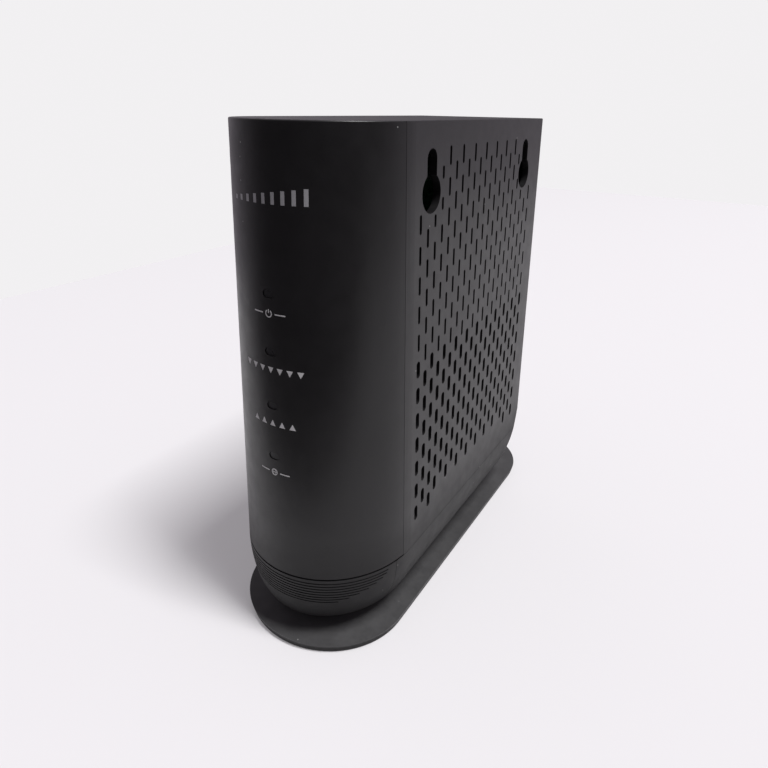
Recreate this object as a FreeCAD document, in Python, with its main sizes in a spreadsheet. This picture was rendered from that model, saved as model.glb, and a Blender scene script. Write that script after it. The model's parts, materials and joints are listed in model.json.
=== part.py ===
import FreeCAD, Part
import math
import os
import re

import Sketcher
from FreeCAD import Placement, Rotation, Vector

# Upright cable modem on an oval foot. Millimetres, +Z up, front towards -Y.
# The origin is the centre of the footprint, at the height the rubber pads stand on.

DIMENSIONS = {
    # overall form
    "overall_height": 149.3,
    "body_width_base": 55.5,
    "body_width_top": 49.6,
    "body_rear": 50.2,
    "nose_start": -43.6,
    "nose_depth_base": 29.3,
    "nose_depth_top": 25.1,
    "rear_corner": 1.4,
    "top_round": 0.35,
    "wall": 2.2,
    # the hull is the lower body, which curves in towards the neck
    "seam_height": 26.4,
    "hull_height": 18.5,
    "hull_inset_side": 7.6,
    "hull_inset_front": 5.6,
    "heel_height": 34.0,
    "heel_inset": 12.0,
    "heel_corner": 8.0,
    # joints between the shells
    "parting_line": -47.6,
    "chin_line": -50.6,
    "seam_gap": 0.12,
    "chin_gap": 0.55,
    "lip_thickness": 1.1,
    "lip_reach": 3.0,
    "lip_drop": 4.0,
    "lip_low_margin": 8.0,
    "lip_high_margin": 12.0,
    # ribs on the chin
    "rib_count": 8,
    "rib_pitch": 1.05,
    "rib_width": 0.4,
    "rib_depth": 0.2,
    "rib_first_drop": 1.0,
    "rib_span_upper": 26.0,
    "rib_span_lower": 16.5,
    # vent field on each side
    "vent_origin_y": -44.6,
    "vent_origin_z": 140.7,
    "vent_columns": 21,
    "vent_half_rows": 27,
    "vent_wide_from": 14,
    "vent_pitch": 4.0,
    "vent_row": 3.96,
    "vent_length": 5.0,
    "vent_short_length": 3.4,
    "vent_narrow": 1.15,
    "vent_wide": 1.95,
    # wall-mount keyholes in the right side
    "keyhole_spacing": 68.0,
    "keyhole_front_y": -35.1,
    "keyhole_height": 132.0,
    "keyhole_radius": 5.0,
    "keyhole_neck": 5.2,
    "keyhole_top": 142.9,
    # foot
    "foot_length": 148.5,
    "foot_width": 55.4,
    "foot_end_depth": 25.9,
    "foot_lift": 0.25,
    "foot_rim": 2.35,
    "foot_undercut": 0.5,
    "foot_flare": 2.2,
    "foot_straight_share": 0.15,
    "neck_half_width": 14.0,
    "neck_front": -58.0,
    "neck_rear": 33.0,
    "neck_end_depth": 13.5,
    "pad_radius": 5.0,
    "pad_height": 1.2,
    "pad_across": 17.0,
    "pad_along": 52.0,
    # light windows on the nose
    "light_count": 4,
    "light_top": 109.9,
    "light_pitch": 15.0,
    "lens_width": 3.2,
    "lens_height": 1.8,
    "lens_clearance": 0.12,
    "lens_recess": 0.2,
    "lens_zone_rear": -55.0,
    "light_bar_width": 2.2,
    "light_bar_depth": 1.6,
    # main board, standing on edge beside the left wall
    "board_face": -8.0,
    "board_thickness": 1.6,
    "board_front": -52.0,
    "board_rear": 44.0,
    "board_bottom": 30.0,
    "board_top": 136.0,
    "board_hole_radius": 1.65,
    "board_hole_margin": 6.0,
    "board_hole_front": -38.0,
    "board_hole_rear": 29.0,
    # rear panel and its connectors
    "rear_face": 49.6,
    "panel_thickness": 1.6,
    "panel_half_width": 19.6,
    "panel_bottom": 34.0,
    "panel_top": 144.0,
    "panel_flange": 1.6,
    "opening_reach": 10.0,
    "opening_gap": 0.2,
    "panel_screw_hole": 1.5,
    "jack_height": 13.4,
    "jack_width": 16.0,
    "jack_depth": 16.0,
    "jack_upper": 106.0,
    "jack_lower": 85.5,
    "socket_width": 11.8,
    "socket_height": 8.0,
    "socket_depth": 12.6,
    "socket_floor": 2.0,
    "latch_width": 6.4,
    "latch_depth": 3.0,
    "contact_length": 7.5,
    "contact_width": 0.5,
    "contact_thickness": 0.35,
    "contact_pitch": 1.02,
    "coax_height": 65.0,
    "coax_offset": -1.0,
    "coax_radius": 4.76,
    "coax_root_radius": 4.35,
    "coax_reach": 10.4,
    "coax_root": 14.0,
    "coax_plain": 3.0,
    "coax_block_depth": 8.0,
    "coax_block_width": 13.0,
    "coax_pin_radius": 1.0,
    "coax_contact_radius": 0.55,
    "washer_radius": 7.4,
    "washer_thickness": 0.6,
    "nut_radius": 6.9,
    "nut_thickness": 2.4,
    "power_height": 48.0,
    "power_offset": -1.6,
    "power_bore": 3.1,
    "power_depth": 9.4,
    "power_pin": 1.0,
    "reset_height": 124.0,
    "reset_offset": -4.4,
    "reset_radius": 1.4,
    "reset_hole": 1.75,
    "switch_setback": 8.2,
    "switch_size": 6.0,
    "plunger_bore": 1.4,
    "plunger_bore_depth": 3.0,
    "plunger_radius": 1.3,
    "plunger_length": 4.5,
    "plunger_stand": 2.2,
    "button_flange_radius": 2.4,
    "button_flange_thickness": 1.0,
    "button_length": 5.4,
    # small fixings and fittings
    "pilot_radius": 1.3,
    "small_head_radius": 2.6,
    "small_head_depth": 1.6,
    "small_shank_radius": 1.25,
    "drive_radius": 1.1,
    "board_post_radius": 3.2,
    "board_screw_length": 8.0,
    "panel_screw_inset": 4.5,
    "panel_screw_length": 11.0,
    "panel_flange_thickness": 1.5,
    "foot_screw_front": -38.0,
    "foot_screw_rear": 8.0,
    "foot_screw_radius": 1.5,
    "foot_screw_head": 2.9,
    "foot_screw_head_depth": 1.9,
    "foot_screw_length": 12.5,
    "foot_screw_seat": 4.0,
    "tray_half_width": 15.0,
    "tray_front": -58.0,
    "tray_rear": 32.0,
    "tray_post_radius": 3.6,
    "tray_post_height": 9.0,
    "arm_half": 4.0,
    "arm_front": 22.0,
    "arm_column": 8.0,
    "lid_boss_depth": 14.0,
    "lid_inset": 2.0,
    "label_width": 30.0,
    "label_length": 24.0,
    "label_thickness": 0.25,
    "label_centre": -14.0,
    # parts on the boards
    "processor_y": -22.0,
    "processor_z": 86.0,
    "processor_width": 23.0,
    "processor_thickness": 2.0,
    "thermal_pad_width": 21.0,
    "thermal_pad_thickness": 0.8,
    "heatsink_width": 38.0,
    "heatsink_height": 38.0,
    "heatsink_depth": 15.0,
    "heatsink_base": 3.0,
    "fin_thickness": 1.2,
    "fin_count": 9,
    "shield_length": 31.0,
    "shield_height": 26.0,
    "shield_centre": 17.5,
    "shield_depth": 6.0,
    "shield_sheet": 0.4,
    "capacitor_radius": 4.0,
    "capacitor_height": 11.0,
    "coax_bore_radius": 3.6,
    "power_body_width": 11.0,
    "power_body_height": 9.6,
    "power_body_depth": 14.0,
    "light_board_front": -57.2,
    "light_board_thickness": 1.2,
    "light_board_bottom": 54.0,
    "light_board_width": 18.0,
    "light_board_margin": 8.0,
    "light_board_offset": -3.0,
    "light_chip_depth": 1.9,
    "light_chip_width": 3.0,
    "light_chip_height": 2.4,
    "header_width": 2.6,
    "header_depth": 6.0,
    "header_length": 16.0,
    "header_low": 78.0,
}

doc = FreeCAD.newDocument("cable_modem")
sheet = doc.addObject("Spreadsheet::Sheet", "dims")
for row, (alias, value) in enumerate(DIMENSIONS.items(), start=1):
    sheet.set(f"A{row}", alias)
    sheet.set(f"B{row}", str(value))
    sheet.setAlias(f"B{row}", alias)
doc.recompute()

NODES = []


def dim(alias):
    """A driving dimension, read from the sheet."""
    return float(sheet.get(alias))


def node(obj, label):
    """Mark a document object as a piece of the modem."""
    obj.Label = label
    NODES.append(obj)
    return obj


def bound(text):
    """Turn words such as 'wall * 2' into an expression that reads the sheet."""
    def word(found):
        name = found.group()
        return "dims." + name if name in DIMENSIONS else name
    return re.sub(r"[a-z][a-z_]*", word, str(text))


def bind(obj, prop, text):
    """Bind a property to an expression of sheet aliases."""
    obj.setExpression(prop, bound(text))


def place(obj, at):
    """Bind an object's position to three expressions."""
    for axis, text in zip("xyz", at):
        bind(obj, f".Placement.Base.{axis}", text)


# --------------------------------------------------------------------------
# Part primitives and booleans


def box(name, size, at):
    obj = doc.addObject("Part::Box", name)
    for prop, text in zip(("Length", "Width", "Height"), size):
        bind(obj, prop, text)
    place(obj, at)
    return obj


TURN = {
    "+X": Rotation(Vector(0, 1, 0), 90),
    "-X": Rotation(Vector(0, 1, 0), -90),
    "+Y": Rotation(Vector(1, 0, 0), -90),
    "-Y": Rotation(Vector(1, 0, 0), 90),
    "+Z": Rotation(),
    "-Z": Rotation(Vector(1, 0, 0), 180),
}


def cylinder(name, radius, length, at, axis="+Z"):
    obj = doc.addObject("Part::Cylinder", name)
    obj.Placement = Placement(Vector(), TURN[axis])
    bind(obj, "Radius", radius)
    bind(obj, "Height", length)
    place(obj, at)
    return obj


def hexagon(name, radius, length, at, axis="+Z"):
    obj = doc.addObject("Part::Prism", name)
    obj.Polygon = 6
    obj.Placement = Placement(Vector(), TURN[axis])
    bind(obj, "Circumradius", radius)
    bind(obj, "Height", length)
    place(obj, at)
    return obj


def fuse(name, pieces):
    obj = doc.addObject("Part::MultiFuse", name)
    obj.Shapes = pieces
    return obj


def cut(name, base, tools):
    tool = tools[0] if len(tools) == 1 else fuse(name + "_tools", tools)
    obj = doc.addObject("Part::Cut", name)
    obj.Base = base
    obj.Tool = tool
    return obj


def group(name, pieces):
    """Identical pieces that share one node, as separate solids."""
    obj = doc.addObject("Part::Compound", name)
    obj.Links = pieces
    return obj


# --------------------------------------------------------------------------
# PartDesign bodies


def new_body(name):
    return doc.addObject("PartDesign::Body", name)


def sketch_on(body, role, name):
    """A sketch on one of the body's own origin planes."""
    sketch = body.newObject("Sketcher::SketchObject", name)
    plane = next(f for f in body.Origin.OriginFeatures if f.Role == role)
    sketch.AttachmentSupport = (plane, "")
    sketch.MapMode = "FlatFace"
    return sketch


def constrain(sketch, name, value, text, *where):
    """Add a driving constraint and bind it to the sheet."""
    kind = where[0]
    index = sketch.addConstraint(Sketcher.Constraint(kind, *where[1:], value))
    sketch.renameConstraint(index, name)
    sketch.setExpression(f"Constraints.{name}", bound(text))


def rectangle(sketch, tag, width, height, centre=None):
    """A rectangle about a centre point; width along x and height along y."""
    w, h = 4.0, 3.0
    corners = [Vector(-w, -h), Vector(w, -h), Vector(w, h), Vector(-w, h)]
    first = sketch.GeometryCount
    for k in range(4):
        sketch.addGeometry(Part.LineSegment(corners[k], corners[(k + 1) % 4]), False)
    for k in range(4):
        after = first + (k + 1) % 4
        sketch.addConstraint(Sketcher.Constraint("Coincident", first + k, 2, after, 1))
    for k in (0, 2):
        sketch.addConstraint(Sketcher.Constraint("Horizontal", first + k))
        sketch.addConstraint(Sketcher.Constraint("Vertical", first + k + 1))
    constrain(sketch, tag + "_width", 2 * w, width, "DistanceX", first, 1, first, 2)
    constrain(sketch, tag + "_height", 2 * h, height, "DistanceY", first + 1, 1, first + 1, 2)
    if centre is None:
        sketch.addConstraint(Sketcher.Constraint("Symmetric", first, 1, first + 2, 1, -1, 1))
        return
    left = f"({centre[0]}) - ({width}) / 2"
    low = f"({centre[1]}) - ({height}) / 2"
    constrain(sketch, tag + "_left", -w, left, "DistanceX", -1, 1, first, 1)
    constrain(sketch, tag + "_low", -h, low, "DistanceY", -1, 1, first, 1)


def circle(sketch, tag, radius, centre):
    """A circle about the origin, or about a centre bound to two expressions."""
    index = sketch.addGeometry(Part.Circle(Vector(1, 1, 0), Vector(0, 0, 1), 1.0), False)
    constrain(sketch, tag + "_radius", 1.0, radius, "Radius", index)
    if centre is None:
        sketch.addConstraint(Sketcher.Constraint("Coincident", index, 3, -1, 1))
        return
    constrain(sketch, tag + "_x", 1.0, centre[0], "DistanceX", -1, 1, index, 3)
    constrain(sketch, tag + "_y", 1.0, centre[1], "DistanceY", -1, 1, index, 3)


def pad(body, sketch, length):
    feature = body.newObject("PartDesign::Pad", sketch.Name + "_pad")
    feature.Profile = sketch
    bind(feature, "Length", length)
    doc.recompute()
    return feature


def pocket(body, sketch, length=None):
    """Cut a sketch out of the body, and check that it removed something."""
    before = body.Shape.Volume
    feature = body.newObject("PartDesign::Pocket", sketch.Name + "_pocket")
    feature.Profile = sketch
    if length is None:
        feature.Type = "ThroughAll"
        feature.Midplane = True
    else:
        bind(feature, "Length", length)
    doc.recompute()
    if body.Shape.Volume > before - 1e-6:
        feature.Reversed = True
        doc.recompute()
    if body.Shape.Volume > before - 1e-6:
        raise RuntimeError("nothing was cut by " + feature.Name)
    return feature


# --------------------------------------------------------------------------
# the moulded body, as lofted sections


def half_ellipse(half_width, start_y, depth, height):
    """Half an ellipse from +X round the -Y side to -X, as one exact curve."""
    quarter_points = (Vector(1, 0, 0), Vector(0, -1, 0), Vector(-1, 0, 0))
    curve = Part.Arc(*quarter_points).toBSpline()
    for index in range(1, curve.NbPoles + 1):
        pole = curve.getPole(index)
        moved = Vector(pole.x * half_width, start_y + pole.y * depth, height)
        curve.setPole(index, moved, curve.getWeight(index))
    return curve.toShape()


def line(a, b):
    return Part.LineSegment(a, b).toShape()


def quarter_curl(drop):
    """How far in a quarter-round edge has curled, from 0 at its start to 1 at its end."""
    return 1 - math.sqrt(1 - min(1.0, max(0.0, drop)) ** 2)


def body_section(height, inset=0.0):
    """The closed outline of the body at a height, moved in by an inset."""
    seam = dim("seam_height")
    base = seam - dim("hull_height")
    if height >= seam:
        rise = (height - seam) / (dim("overall_height") - seam)
        half = (dim("body_width_base") + (dim("body_width_top") - dim("body_width_base")) * rise) / 2
        depth = dim("nose_depth_base") + (dim("nose_depth_top") - dim("nose_depth_base")) * rise
    else:
        curl = quarter_curl((seam - height) / (seam - base))
        half = dim("body_width_base") / 2 - dim("hull_inset_side") * curl
        depth = dim("nose_depth_base") - dim("hull_inset_front") * curl
    heel_drop = max(0.0, (dim("heel_height") - height) / (dim("heel_height") - base))
    rear = dim("body_rear") - dim("heel_inset") * quarter_curl(heel_drop)
    corner = dim("rear_corner") + dim("heel_corner") * heel_drop
    half -= inset
    depth -= inset
    rear -= inset
    start = dim("nose_start")
    bulge = corner * (1 - math.sqrt(0.5))
    right_start = Vector(half, start, height)
    right_end = Vector(half, rear - corner, height)
    right_mid = Vector(half - bulge, rear - bulge, height)
    rear_right = Vector(half - corner, rear, height)
    rear_left = Vector(corner - half, rear, height)
    left_mid = Vector(bulge - half, rear - bulge, height)
    left_end = Vector(-half, rear - corner, height)
    left_start = Vector(-half, start, height)
    return Part.Wire([
        line(right_start, right_end),
        Part.Arc(right_end, right_mid, rear_right).toShape(),
        line(rear_right, rear_left),
        Part.Arc(rear_left, left_mid, left_end).toShape(),
        line(left_end, left_start),
        half_ellipse(half, start, depth, height).reversed(),
    ])


def body_solid(inset=0.0, floor=0.0, ceiling=0.0):
    """The body filled solid: a leaning upper part on a curved hull."""
    seam = dim("seam_height")
    heel = dim("heel_height")
    steps = 7
    levels = [seam + (heel - seam) * k / 3 for k in range(4)] + [dim("overall_height") - ceiling]
    upper = Part.makeLoft([body_section(level, inset) for level in levels], True, True)
    low = seam - dim("hull_height") + floor
    reach = math.asin(min(1.0, (seam - low) / dim("hull_height")))
    heights = [seam - dim("hull_height") * math.sin(reach * k / steps) for k in range(steps + 1)]
    hull = Part.makeLoft([body_section(h, inset) for h in heights], True, False)
    return upper.fuse(hull)


def slab(low, high):
    """A box from its lowest to its highest corner."""
    size = high - low
    return Part.makeBox(size.x, size.y, size.z, low)


FAR = 120.0


def piece(label, shape):
    """A piece whose shape is set here because no feature makes it."""
    obj = doc.addObject("Part::Feature", label)
    obj.Shape = shape
    return node(obj, label)


# --------------------------------------------------------------------------
# cutters and zones for the shells


def prism(wire, height):
    """A flat outline raised straight up, or down where the height is negative."""
    return Part.Face(wire).extrude(Vector(0, 0, height))


def slot(y, z, radius, length):
    """One upright slot with round ends, as a bar along +X."""
    straight = length / 2 - radius
    lower_front = Vector(0, y - radius, z - straight)
    upper_front = Vector(0, y - radius, z + straight)
    upper_rear = Vector(0, y + radius, z + straight)
    lower_rear = Vector(0, y + radius, z - straight)
    outline = Part.Wire([
        line(lower_front, upper_front),
        Part.Arc(upper_front, Vector(0, y, z + straight + radius), upper_rear).toShape(),
        line(upper_rear, lower_rear),
        Part.Arc(lower_rear, Vector(0, y, z - straight - radius), lower_front).toShape(),
    ])
    return Part.Face(outline).extrude(Vector(FAR, 0, 0))


def keyhole_places():
    first = dim("keyhole_front_y")
    return [first, first + dim("keyhole_spacing")]


def keyhole(y):
    """A keyhole cutter: a round entry with a narrow neck above it."""
    centre = Vector(0, y, dim("keyhole_height"))
    neck = dim("keyhole_neck") / 2
    neck_top = dim("keyhole_top") - neck
    entry = Part.makeCylinder(dim("keyhole_radius"), FAR, centre, Vector(1, 0, 0))
    end = Part.makeCylinder(neck, FAR, Vector(0, y, neck_top), Vector(1, 0, 0))
    channel = slab(Vector(0, y - neck, centre.z), Vector(FAR, y + neck, neck_top))
    return entry.fuse([end, channel])


def vent_length(column, half_row, keyholed):
    """The slot's length at a place in the field, where 0 means no slot."""
    last = 25 if 4 <= column <= 18 else 26
    first = 4 if keyholed and (column <= 3 or column >= 19) else 0
    if half_row < first or half_row > last:
        return 0
    if keyholed:
        y = dim("vent_origin_y") + column * dim("vent_pitch")
        z = dim("vent_origin_z") - half_row * dim("vent_row")
        away = min(math.hypot(y - key_y, z - dim("keyhole_height")) for key_y in keyhole_places())
        if away < 1.2 * dim("keyhole_radius"):
            return 0
        if away < 1.68 * dim("keyhole_radius"):
            return dim("vent_short_length")
    return dim("vent_length")


def vent_slots(keyholed):
    """Cutters for the staggered vent slots of the right side."""
    slots = []
    for column in range(1, int(dim("vent_columns")) + 1):
        for half_row in range(1 - column % 2, int(dim("vent_half_rows")), 2):
            length = vent_length(column, half_row, keyholed)
            if length == 0:
                continue
            y = dim("vent_origin_y") + column * dim("vent_pitch")
            z = dim("vent_origin_z") - half_row * dim("vent_row")
            width = dim("vent_wide") if half_row >= dim("vent_wide_from") else dim("vent_narrow")
            slots.append(slot(y, z, width / 2, length))
    return Part.makeCompound(slots)


def rib_grooves():
    """Cutters for the fine level grooves across the chin."""
    count = int(dim("rib_count"))
    upper = dim("rib_span_upper")
    lower = dim("rib_span_lower")
    depth = dim("rib_depth")
    grooves = []
    for index in range(count):
        high = dim("seam_height") - dim("rib_first_drop") - index * dim("rib_pitch")
        low = high - dim("rib_width")
        around = Part.makeLoft([body_section(low, -2.0), body_section(high, -2.0)], True, True)
        core = Part.makeLoft([body_section(low, depth), body_section(high, depth)], True, True)
        span = upper + (lower - upper) * (index / (count - 1)) ** 2
        front = slab(Vector(-span, -FAR, 0), Vector(span, dim("chin_line") - 1, FAR))
        grooves.append(around.cut(core).common(front))
    return grooves


def light_heights():
    return [dim("light_top") - k * dim("light_pitch") for k in range(int(dim("light_count")))]


def light_bar(z, clearance, front, rear):
    """A pill-shaped bar along Y at a light's height."""
    radius = dim("lens_height") / 2 + clearance
    half = (dim("lens_width") - dim("lens_height")) / 2
    bar = slab(Vector(-half, front, z - radius), Vector(half, rear, z + radius))
    ends = [Part.makeCylinder(radius, rear - front, Vector(x, front, z), Vector(0, 1, 0))
            for x in (-half, half)]
    return bar.fuse(ends)


def board_hole_places():
    margin = dim("board_hole_margin")
    heights = (dim("board_bottom") + margin, dim("board_top") - margin)
    return [(y, z) for y in (dim("board_hole_front"), dim("board_hole_rear")) for z in heights]


def screw_heights():
    """The heights of the two screws that hold the rear panel."""
    inset = dim("panel_screw_inset")
    return [dim("panel_bottom") + inset, dim("panel_top") - inset]


def rear_pilot(z):
    face = dim("rear_face") - dim("panel_thickness")
    start = Vector(0, face - dim("panel_screw_length"), z)
    return Part.makeCylinder(dim("pilot_radius"), dim("panel_screw_length"), start, Vector(0, 1, 0))


def foot_screw_places():
    return [dim("foot_screw_front"), dim("foot_screw_rear")]


# --------------------------------------------------------------------------
# shells: one hollow body sliced into the panels and covers it is built from


def make_lip(low, high, front, rear, root_low, root_high, root_rear):
    """A thin inner lip that bridges a joint, with the root that carries it."""
    wall = dim("wall")
    thick = dim("lip_thickness")
    inside = body_solid(wall + thick, wall + 0.05, wall + thick)
    ring = body_solid(wall + 0.05, wall, wall + 0.05).cut(inside)
    root = body_solid(wall - 0.3, wall, wall - 0.3).cut(inside)
    ring = ring.common(slab(Vector(-FAR, front, low), Vector(FAR, rear, high)))
    root = root.common(slab(Vector(-FAR, front, root_low), Vector(FAR, root_rear, root_high)))
    return [ring, root]


def make_front_panel(shell, lid_hole):
    seam = dim("seam_height")
    parting = dim("parting_line")
    zone = slab(Vector(-FAR, -FAR, seam + dim("chin_gap")), Vector(FAR, parting, 2 * FAR))
    windows = [light_bar(z, dim("lens_clearance"), -FAR, dim("lens_zone_rear")) for z in light_heights()]
    panel = shell.common(zone).cut(lid_hole).cut(Part.makeCompound(windows))
    low = seam + dim("lip_low_margin")
    high = dim("overall_height") - dim("lip_high_margin")
    reach = dim("lip_reach")
    lip = make_lip(low, high, parting - 2 * reach, parting + reach, low, high, parting - 0.5)
    piece("front_panel", panel.fuse(lip))


def make_chin_panel(shell, tray_hole):
    seam = dim("seam_height")
    edge = dim("chin_line")
    chin = shell.common(slab(Vector(-FAR, -FAR, 0), Vector(FAR, edge, seam))).cut(tray_hole)
    for groove in rib_grooves():
        chin = chin.cut(groove)
    low = seam - dim("lip_drop")
    lip = make_lip(low, seam + dim("lip_reach"), -FAR, edge - 2, low, seam - 0.5, edge - 2)
    piece("chin_panel", chin.fuse(lip))


def make_lower_hull(covers):
    """The curved band below the side covers, whose lip carries them."""
    seam = dim("seam_height")
    front = dim("chin_line") + dim("seam_gap")
    hull = covers.common(slab(Vector(-FAR, front, 0), Vector(FAR, FAR, seam)))
    low = seam - dim("lip_drop")
    lip = make_lip(low, seam + dim("lip_reach"), front + 2, FAR, low, seam - 0.5, FAR)
    piece("lower_hull", hull.fuse(lip))


def cover_zone(low_x, high_x):
    """The space of one side cover, behind the front panel and above the hull."""
    gap = dim("seam_gap")
    return slab(Vector(low_x, dim("parting_line") + gap, dim("seam_height") + gap),
                Vector(high_x, FAR, 2 * FAR))


def make_right_cover(covers):
    zone = cover_zone(dim("seam_gap") / 2, FAR)
    cover = covers.common(zone).cut(vent_slots(True))
    piece("right_cover", cover.cut(Part.makeCompound([keyhole(y) for y in keyhole_places()])))


def make_left_cover(covers):
    zone = cover_zone(-FAR, -dim("seam_gap") / 2)
    vents = vent_slots(False).mirror(Vector(), Vector(1, 0, 0))
    cover = covers.common(zone).cut(vents)
    wall = dim("wall")
    mid_wall = body_solid(wall / 2, wall / 2, wall / 2)
    back = dim("board_face") - dim("board_thickness")
    radius = dim("board_post_radius")
    along = Vector(-1, 0, 0)
    posts = [Part.makeCylinder(radius, FAR, Vector(back, y, z), along).common(mid_wall)
             for y, z in board_hole_places()]
    pilots = [Part.makeCylinder(dim("pilot_radius"), dim("board_screw_length"), Vector(back, y, z), along)
              for y, z in board_hole_places()]
    piece("left_cover", cover.fuse(posts).cut(Part.makeCompound(pilots)))


def make_top_cover(rounded):
    """The lid, with a boss under it for the rear panel's upper screw."""
    top = dim("overall_height")
    wall = dim("wall")
    plug = prism(body_section(top, dim("lid_inset")), -wall)
    boss_rear = dim("rear_face") - dim("panel_thickness") - dim("panel_flange_thickness")
    half = dim("arm_half")
    low = screw_heights()[1] - half
    boss = slab(Vector(-half, boss_rear - dim("lid_boss_depth"), low),
                Vector(half, boss_rear, top - wall + 0.2))
    piece("top_cover", rounded.common(plug).fuse(boss).cut(rear_pilot(screw_heights()[1])))


def make_bottom_tray():
    """The floor between the covers, with posts for the foot and the rear panel's lower screw."""
    floor = dim("seam_height") - dim("hull_height")
    level = floor + dim("wall")
    half = dim("tray_half_width")
    plate = slab(Vector(-half, dim("tray_front"), floor), Vector(half, dim("tray_rear"), level))
    posts = [Part.makeCylinder(dim("tray_post_radius"), dim("tray_post_height"), Vector(0, y, level))
             for y in foot_screw_places()]
    arm_rear = dim("rear_face") - dim("panel_thickness") - dim("panel_flange_thickness")
    arm_height = screw_heights()[0]
    thick = dim("arm_half")
    start = dim("arm_front")
    arm_top = arm_height + thick
    column = slab(Vector(-thick, start, level), Vector(thick, start + dim("arm_column"), arm_top))
    arm = slab(Vector(-thick, start, arm_height - thick), Vector(thick, arm_rear, arm_top))
    tray = plate.fuse(posts + [column, arm])
    holes = [Part.makeCylinder(dim("foot_screw_radius") + 0.05, 20, Vector(0, y, 0))
             for y in foot_screw_places()]
    piece("bottom_tray", tray.cut(Part.makeCompound(holes + [rear_pilot(arm_height)])))


def make_light_pipe():
    """The clear part whose four ends are the lights' lenses."""
    rear = dim("light_board_front") - dim("light_chip_depth") - 0.2
    body = body_solid(dim("lens_recess"))
    pipes = [light_bar(z, 0, -FAR, rear).common(body) for z in light_heights()]
    lowest = min(light_heights())
    highest = max(light_heights())
    half = dim("light_bar_width") / 2
    bar_rear = rear - 1.4
    bar = slab(Vector(-half, bar_rear - dim("light_bar_depth"), lowest), Vector(half, bar_rear, highest))
    piece("light_pipe", pipes[0].fuse(pipes[1:] + [bar]))


def make_shells():
    wall = dim("wall")
    top = dim("overall_height")
    gap = dim("seam_gap")
    floor = dim("seam_height") - dim("hull_height")
    outer = body_solid()
    rim = [edge for edge in outer.Edges if edge.BoundBox.ZMin > top - 0.01]
    rounded = outer.makeFillet(dim("top_round"), rim)
    shell = rounded.cut(body_solid(wall, wall, wall))
    lid_hole = prism(body_section(top, dim("lid_inset") - gap), -wall - 1)
    half = dim("tray_half_width") + gap
    tray_low = Vector(-half, dim("tray_front") - gap, 0)
    tray_hole = slab(tray_low, Vector(half, dim("tray_rear") + gap, floor + wall + 0.1))
    window = slab(Vector(-dim("panel_half_width") - gap, 40, dim("panel_bottom") - gap),
                  Vector(dim("panel_half_width") + gap, FAR, dim("panel_top") + gap))
    covers = shell.cut(lid_hole).cut(tray_hole).cut(window)
    make_front_panel(shell, lid_hole)
    make_chin_panel(shell, tray_hole)
    make_lower_hull(covers)
    make_right_cover(covers)
    make_left_cover(covers)
    make_top_cover(rounded)
    make_bottom_tray()
    make_light_pipe()


# --------------------------------------------------------------------------
# foot


def oval(half_width, front, rear, end_depth, height):
    """A long outline with straight sides and half-elliptical ends."""
    front_start = front + end_depth
    rear_start = rear - end_depth
    rear_end = half_ellipse(half_width, 0, end_depth, 0)
    rear_end = rear_end.transformGeometry(FreeCAD.Matrix(-1, 0, 0, 0, 0, -1, 0, rear_start,
                                                         0, 0, 1, height))
    return Part.Wire([
        line(Vector(half_width, front_start, height), Vector(half_width, rear_start, height)),
        rear_end,
        line(Vector(-half_width, rear_start, height), Vector(-half_width, front_start, height)),
        half_ellipse(half_width, front_start, end_depth, height),
    ])


def foot_outline(inset, height):
    """The foot's rim outline at a height, moved in by an inset."""
    half_length = dim("foot_length") / 2 - inset
    return oval(dim("foot_width") / 2 - inset, -half_length, half_length,
                dim("foot_end_depth") - inset, height)


def foot_section(share):
    """The foot's outline part of the way from its rim, 0, to its neck, 1."""
    def between(rim, neck):
        return rim + (neck - rim) * share
    rise = dim("seam_height") - dim("hull_height") - dim("foot_lift") - dim("foot_rim")
    straight = dim("foot_straight_share")
    climb = straight * share + (1 - straight) * share ** dim("foot_flare")
    height = dim("foot_lift") + dim("foot_rim") + rise * climb
    half_length = dim("foot_length") / 2
    return oval(between(dim("foot_width") / 2, dim("neck_half_width")),
                between(-half_length, dim("neck_front")),
                between(half_length, dim("neck_rear")),
                between(dim("foot_end_depth"), dim("neck_end_depth")), height)


def make_foot():
    lift = dim("foot_lift")
    steps = 6
    flare = Part.makeLoft([foot_section(k / steps) for k in range(steps + 1)], True, False)
    rim = Part.makeLoft([foot_outline(dim("foot_undercut"), lift), foot_section(0)], True, True)
    foot = flare.fuse(rim)
    pads = [Part.makeCylinder(dim("pad_radius") + 0.1, dim("pad_height") - lift, Vector(x, y, lift))
            for x, y in pad_places()]
    shanks = [Part.makeCylinder(dim("foot_screw_radius") + 0.2, 20, Vector(0, y, lift))
              for y in foot_screw_places()]
    heads = [Part.makeCylinder(dim("foot_screw_head") + 0.3, dim("foot_screw_seat") - lift,
                               Vector(0, y, lift)) for y in foot_screw_places()]
    half_x = dim("label_width") / 2 + 0.2
    half_y = dim("label_length") / 2 + 0.2
    centre = dim("label_centre")
    label = slab(Vector(-half_x, centre - half_y, lift),
                 Vector(half_x, centre + half_y, lift + dim("label_thickness") + 0.05))
    piece("foot", foot.cut(Part.makeCompound(pads + shanks + heads + [label])))


def pad_places():
    across = dim("pad_across")
    along = dim("pad_along")
    return [(x, y) for y in (-along, along) for x in (-across, across)]


def make_foot_pads():
    for index, (side, end) in enumerate([("-", "-"), ("", "-"), ("-", ""), ("", "")], start=1):
        body = new_body(f"pad{index}_body")
        sketch = sketch_on(body, "XY_Plane", f"pad{index}_outline")
        circle(sketch, "disc", "pad_radius", None)
        disc = pad(body, sketch, "pad_height")
        round_over = body.newObject("PartDesign::Fillet", f"pad{index}_fillet")
        round_over.Base = (disc, [lowest_edge(disc.Shape)])
        round_over.Radius = 0.3
        place(body, (side + "pad_across", end + "pad_along", "0"))
        node(body, f"foot_pad_{index}")


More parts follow.
